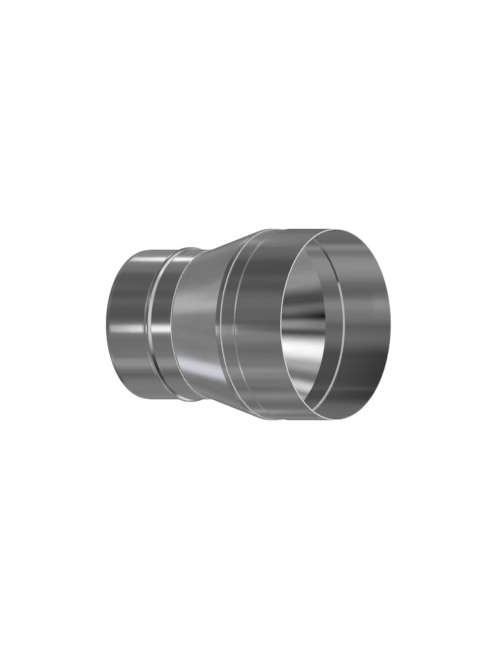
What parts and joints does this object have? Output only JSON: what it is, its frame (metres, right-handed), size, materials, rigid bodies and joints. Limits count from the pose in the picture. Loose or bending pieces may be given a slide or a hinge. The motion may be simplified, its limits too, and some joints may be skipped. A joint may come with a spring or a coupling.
{
  "type": "chimney adapter",
  "caption": "Round single-wall stainless flue adapter: a beaded male spigot, a cone and a wider female socket.",
  "frame": {"origin": "on the flue's axis, at the height of the spigot's tip, on which the adapter stands", "axes": "+Z along the flue's axis, from the small spigot up to the wide socket; +X and +Y are any two square directions, as the part is round"},
  "size_m": [0.2022, 0.2022, 0.2419],
  "materials": {
    "stainless_sheet": "satin rolled stainless sheet"
  },
  "bodies": {
    "root": {"spigot_sleeve": "stainless_sheet", "cone": "stainless_sheet", "socket_sleeve": "stainless_sheet"}
  },
  "joints": []
}
